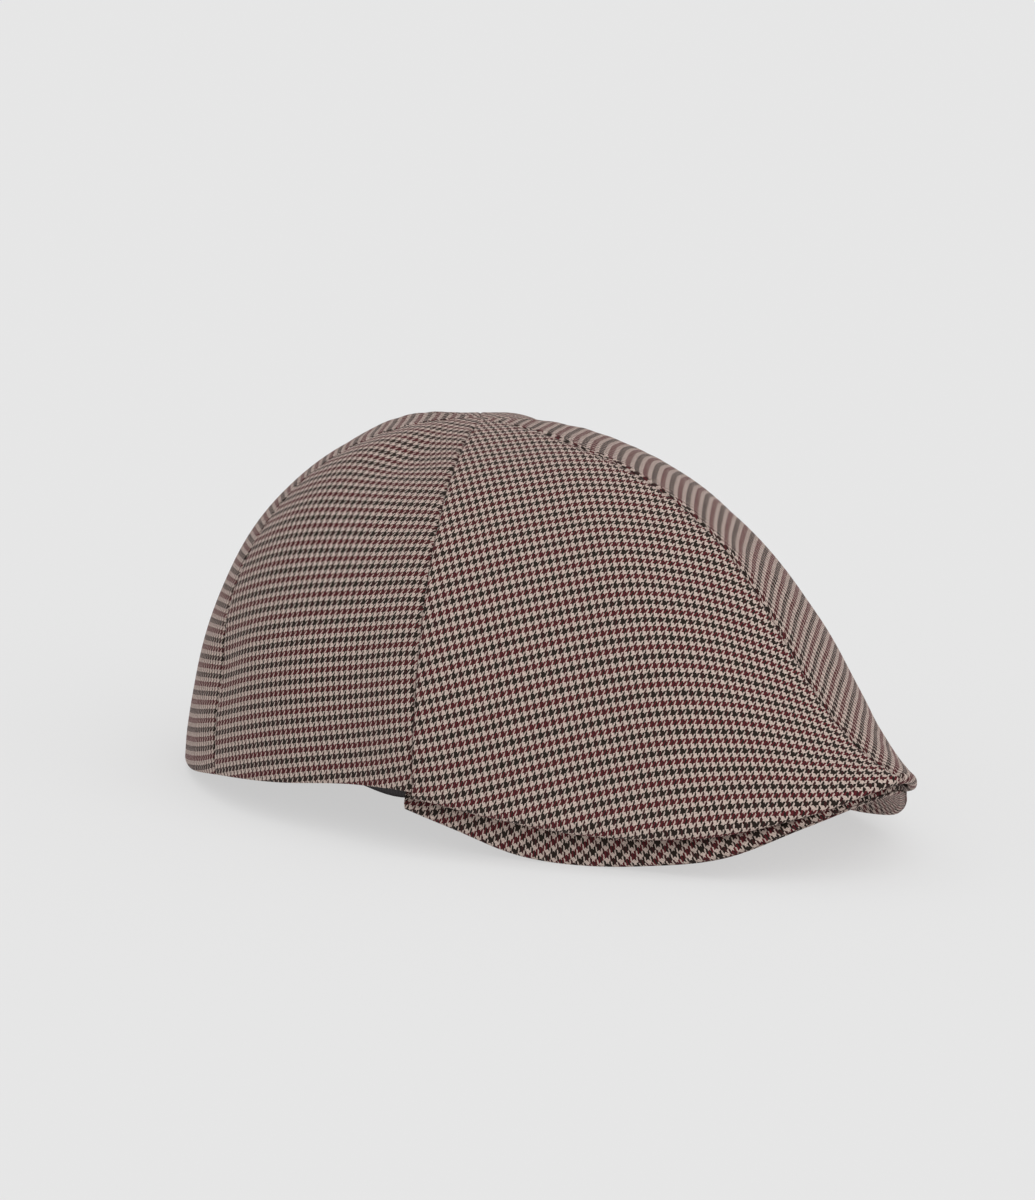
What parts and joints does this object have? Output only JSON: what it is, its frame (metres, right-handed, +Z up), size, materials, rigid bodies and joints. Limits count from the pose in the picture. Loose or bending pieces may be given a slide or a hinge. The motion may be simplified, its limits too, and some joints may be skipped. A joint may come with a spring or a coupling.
{
  "type": "duckbill flat cap",
  "caption": "Soft duckbill flat cap in houndstooth cloth: panelled crown rolled onto a curved bill, open underneath for the head, standing by itself.",
  "frame": {"origin": "middle of the cap's footprint, on the surface it stands on", "axes": "+Z up, -Y towards the front of the bill, +X towards the wearer's left"},
  "size_m": [0.17, 0.2768, 0.1115],
  "materials": {
    "houndstooth_cloth": "matt woven wool in a small houndstooth of cream, black and burgundy",
    "sweatband_cloth": "matt dark woven tape"
  },
  "bodies": {
    "root": {"crown_panel_front_right": "houndstooth_cloth", "crown_panel_front_left": "houndstooth_cloth", "crown_panel_side_right": "houndstooth_cloth", "crown_panel_side_left": "houndstooth_cloth", "crown_panel_back_right": "houndstooth_cloth", "crown_panel_back_left": "houndstooth_cloth", "bill_top_cover": "houndstooth_cloth", "bill_under_cover": "houndstooth_cloth", "sweatband": "sweatband_cloth"}
  },
  "joints": []
}
